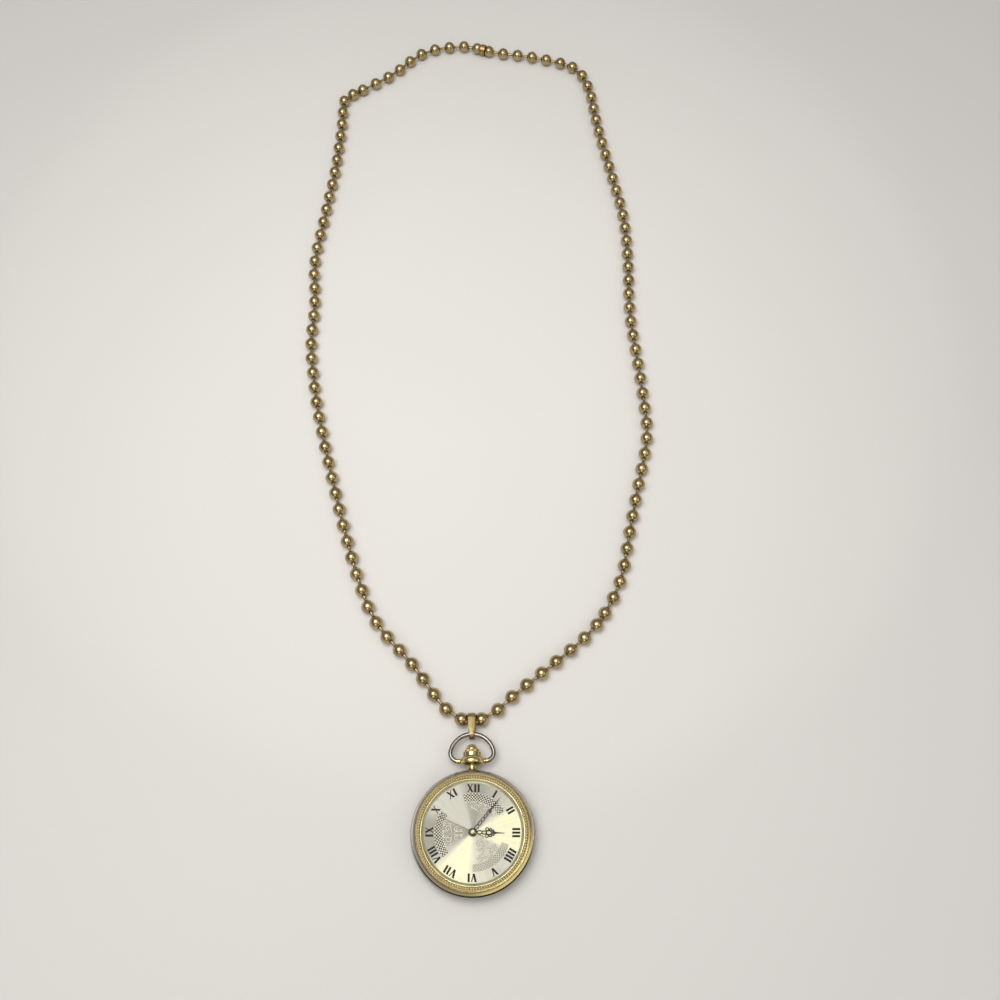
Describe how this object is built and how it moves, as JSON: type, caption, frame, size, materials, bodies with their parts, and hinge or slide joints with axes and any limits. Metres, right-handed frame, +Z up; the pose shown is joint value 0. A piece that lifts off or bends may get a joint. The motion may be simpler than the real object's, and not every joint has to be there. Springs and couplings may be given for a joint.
{
  "type": "pendant watch",
  "caption": "Round pendant watch with a domed crystal, Roman dial and pierced hands, hung by its bow and a strap bail on a long ball chain.",
  "frame": {"origin": "centre of the case back's flat resting face", "axes": "+Z up through the dial, out of the crystal; +Y towards twelve o'clock, along the pendant and the winding stem; +X towards three o'clock"},
  "size_m": [0.1116, 0.3052, 0.0089],
  "materials": {
    "gold_case": "polished gold plate",
    "steel_back": "satin steel",
    "steel_bow": "polished",
    "crystal": "clear, domed",
    "cream_ring": "bright polished",
    "dial_champagne": "sunburst champagne with a stamped pattern and dark Roman numerals",
    "movement_ring_metal": "plain turned",
    "nickel_plate": "nickel plated brass",
    "jewel_red": "polished red stone",
    "steel_parts": "polished steel",
    "brass_wheels": "plain brass",
    "blue_steel_hairspring": "blued",
    "dark_hands": "black lacquer",
    "gold_hand": "thin gilt",
    "bead_brass": "polished, slightly darkened",
    "link_brass": "plain",
    "clasp_brass": "browned"
  },
  "bodies": {
    "chain": {"chain_beads": "bead_brass", "chain_links": "link_brass", "chain_clasp": "clasp_brass"},
    "bail": {"bail": "gold_case"},
    "bow": {"bow": "steel_bow"},
    "watch_case": {"case_middle": "gold_case", "case_back": "steel_back", "bezel": "gold_case", "crystal": "crystal", "dial_flange": "cream_ring", "dial": "dial_champagne", "movement_ring": "movement_ring_metal", "mainplate": "nickel_plate", "barrel_bridge": "nickel_plate", "train_bridge": "nickel_plate", "balance_cock": "nickel_plate", "pallet_bridge": "nickel_plate", "jewels": "jewel_red", "bridge_screws": "steel_parts", "case_clamps": "nickel_plate", "clamp_screws": "steel_parts", "keyless_cover": "steel_parts", "crown_wheel_screw": "steel_parts", "click_spring": "steel_parts", "pendant": "gold_case"},
    "minute_hand": {"cannon_pinion": "steel_parts", "minute_hand": "dark_hands"},
    "minute_wheel": {"minute_wheel": "brass_wheels"},
    "hour_hand": {"hour_wheel": "brass_wheels", "hour_hand": "dark_hands"},
    "setting_wheel": {"setting_wheel": "steel_parts"},
    "second_hand": {"fourth_wheel": "brass_wheels", "second_hand": "gold_hand"},
    "third_wheel": {"third_wheel": "brass_wheels"},
    "centre_wheel": {"centre_wheel": "brass_wheels"},
    "barrel": {"barrel": "brass_wheels", "barrel_cover": "brass_wheels", "mainspring": "steel_parts"},
    "escape_wheel": {"escape_wheel": "steel_parts"},
    "pallet_fork": {"pallet_fork": "steel_parts", "pallet_stones": "jewel_red"},
    "balance": {"balance_wheel": "brass_wheels", "balance_staff": "steel_parts", "hairspring": "blue_steel_hairspring"},
    "winding_pinion": {"winding_pinion": "steel_parts"},
    "crown": {"winding_stem": "steel_parts", "crown": "gold_case"},
    "sliding_pinion": {"sliding_pinion": "steel_parts"},
    "crown_wheel": {"crown_wheel": "steel_parts"},
    "ratchet": {"barrel_arbor": "steel_parts", "ratchet_wheel": "steel_parts"},
    "click": {"click": "steel_parts"},
    "setting_lever": {"setting_lever": "steel_parts"},
    "yoke": {"yoke": "steel_parts"}
  },
  "joints": [
    {"name": "bail_swing", "type": "hinge", "parent": "chain", "child": "bail", "pos_m": [0, 0.0312, 0.002], "axis": [-1, 0, 0], "range_deg": [0, 50]},
    {"name": "bow_swing", "type": "hinge", "parent": "bail", "child": "bow", "pos_m": [0, 0.02693, 0.00284], "axis": [-1, 0, 0], "range_deg": [-20, 35]},
    {"name": "case_swing", "type": "hinge", "parent": "bow", "child": "watch_case", "pos_m": [0, 0.01935, 0.00338], "axis": [-1, 0, 0], "range_deg": [0, 90]},
    {"name": "minute_hand_turn", "type": "hinge", "parent": "watch_case", "child": "minute_hand", "pos_m": [0, 0, 0.005], "axis": [0, 0, -1], "continuous": true},
    {"name": "minute_wheel_turn", "type": "hinge", "parent": "watch_case", "child": "minute_wheel", "pos_m": [0.00046, 0.0026, 0.005], "axis": [0, 0, -1], "continuous": true},
    {"name": "hour_hand_turn", "type": "hinge", "parent": "watch_case", "child": "hour_hand", "pos_m": [0, 0, 0.0053], "axis": [0, 0, -1], "continuous": true},
    {"name": "setting_wheel_turn", "type": "hinge", "parent": "watch_case", "child": "setting_wheel", "pos_m": [0.00057, 0.0059, 0.005], "axis": [0, 0, -1], "continuous": true},
    {"name": "second_hand_turn", "type": "hinge", "parent": "watch_case", "child": "second_hand", "pos_m": [0, 0, 0.0021], "axis": [0, 0, -1], "continuous": true},
    {"name": "third_wheel_turn", "type": "hinge", "parent": "watch_case", "child": "third_wheel", "pos_m": [0.00185, -0.00507, 0.00284], "axis": [0, 0, -1], "continuous": true},
    {"name": "centre_wheel_turn", "type": "hinge", "parent": "watch_case", "child": "centre_wheel", "pos_m": [0, 0, 0.00356], "axis": [0, 0, -1], "continuous": true},
    {"name": "barrel_turn", "type": "hinge", "parent": "watch_case", "child": "barrel", "pos_m": [-0.00527, 0.00304, 0.00283], "axis": [0, 0, -1], "continuous": true},
    {"name": "escape_wheel_turn", "type": "hinge", "parent": "watch_case", "child": "escape_wheel", "pos_m": [0.00528, -0.00074, 0.00318], "axis": [0, 0, -1], "continuous": true},
    {"name": "pallet_fork_rock", "type": "hinge", "parent": "watch_case", "child": "pallet_fork", "pos_m": [0.00564, 0.00154, 0.00336], "axis": [0, 0, -1], "range_deg": [-5, 5]},
    {"name": "balance_swing", "type": "hinge", "parent": "watch_case", "child": "balance", "pos_m": [0.00615, 0.0048, 0.00247], "axis": [0, 0, -1], "range_deg": [-200, 200], "stiffness_Nm_per_rad": 0.00000016, "deforming": ["hairspring"]},
    {"name": "crown_turn", "type": "hinge", "parent": "watch_case", "child": "winding_pinion", "pos_m": [0, 0.0094, 0.00338], "axis": [0, 1, 0], "continuous": true},
    {"name": "crown_wheel_turn", "type": "hinge", "parent": "watch_case", "child": "crown_wheel", "pos_m": [0, 0.00681, 0.00173], "axis": [0, 0, -1], "continuous": true},
    {"name": "ratchet_turn", "type": "hinge", "parent": "watch_case", "child": "ratchet", "pos_m": [-0.00527, 0.00304, 0.00173], "axis": [0, 0, -1], "continuous": true},
    {"name": "crown_pull", "type": "slide", "parent": "winding_pinion", "child": "crown", "axis": [0, 1, 0], "range_m": [0, 0.0007]},
    {"name": "sliding_pinion_slide", "type": "slide", "parent": "winding_pinion", "child": "sliding_pinion", "axis": [0, 1, 0], "range_m": [-0.0004, 0]},
    {"name": "setting_lever_turn", "type": "hinge", "parent": "watch_case", "child": "setting_lever", "pos_m": [-0.003, 0.01066, 0.00504], "axis": [0, 0, 1], "range_deg": [0, 15.6]},
    {"name": "yoke_turn", "type": "hinge", "parent": "watch_case", "child": "yoke", "pos_m": [0.00542, 0.00792, 0.00504], "axis": [0, 0, 1], "range_deg": [0, 5.2]},
    {"name": "click_turn", "type": "hinge", "parent": "watch_case", "child": "click", "pos_m": [-0.00999, 0.00085, 0.00169], "axis": [0, 0, 1], "range_deg": [0, 8], "stiffness_Nm_per_rad": 0.000001}
  ],
  "couplings": [
    {"joint": "minute_wheel_turn", "follows": "minute_hand_turn", "ratio": -0.33333},
    {"joint": "hour_hand_turn", "follows": "minute_hand_turn", "ratio": 0.083333},
    {"joint": "setting_wheel_turn", "follows": "minute_hand_turn", "ratio": 0.5},
    {"joint": "third_wheel_turn", "follows": "second_hand_turn", "ratio": -0.13333},
    {"joint": "centre_wheel_turn", "follows": "second_hand_turn", "ratio": 0.016667},
    {"joint": "barrel_turn", "follows": "second_hand_turn", "ratio": -0.0027778},
    {"joint": "escape_wheel_turn", "follows": "second_hand_turn", "ratio": -10},
    {"joint": "crown_wheel_turn", "follows": "crown_turn", "ratio": 0.53846},
    {"joint": "ratchet_turn", "follows": "crown_turn", "ratio": -0.35897},
    {"joint": "sliding_pinion_slide", "follows": "crown_pull", "ratio": -0.57143},
    {"joint": "setting_lever_turn", "follows": "crown_pull", "rad_per_m": 385},
    {"joint": "yoke_turn", "follows": "crown_pull", "rad_per_m": 127.4}
  ]
}
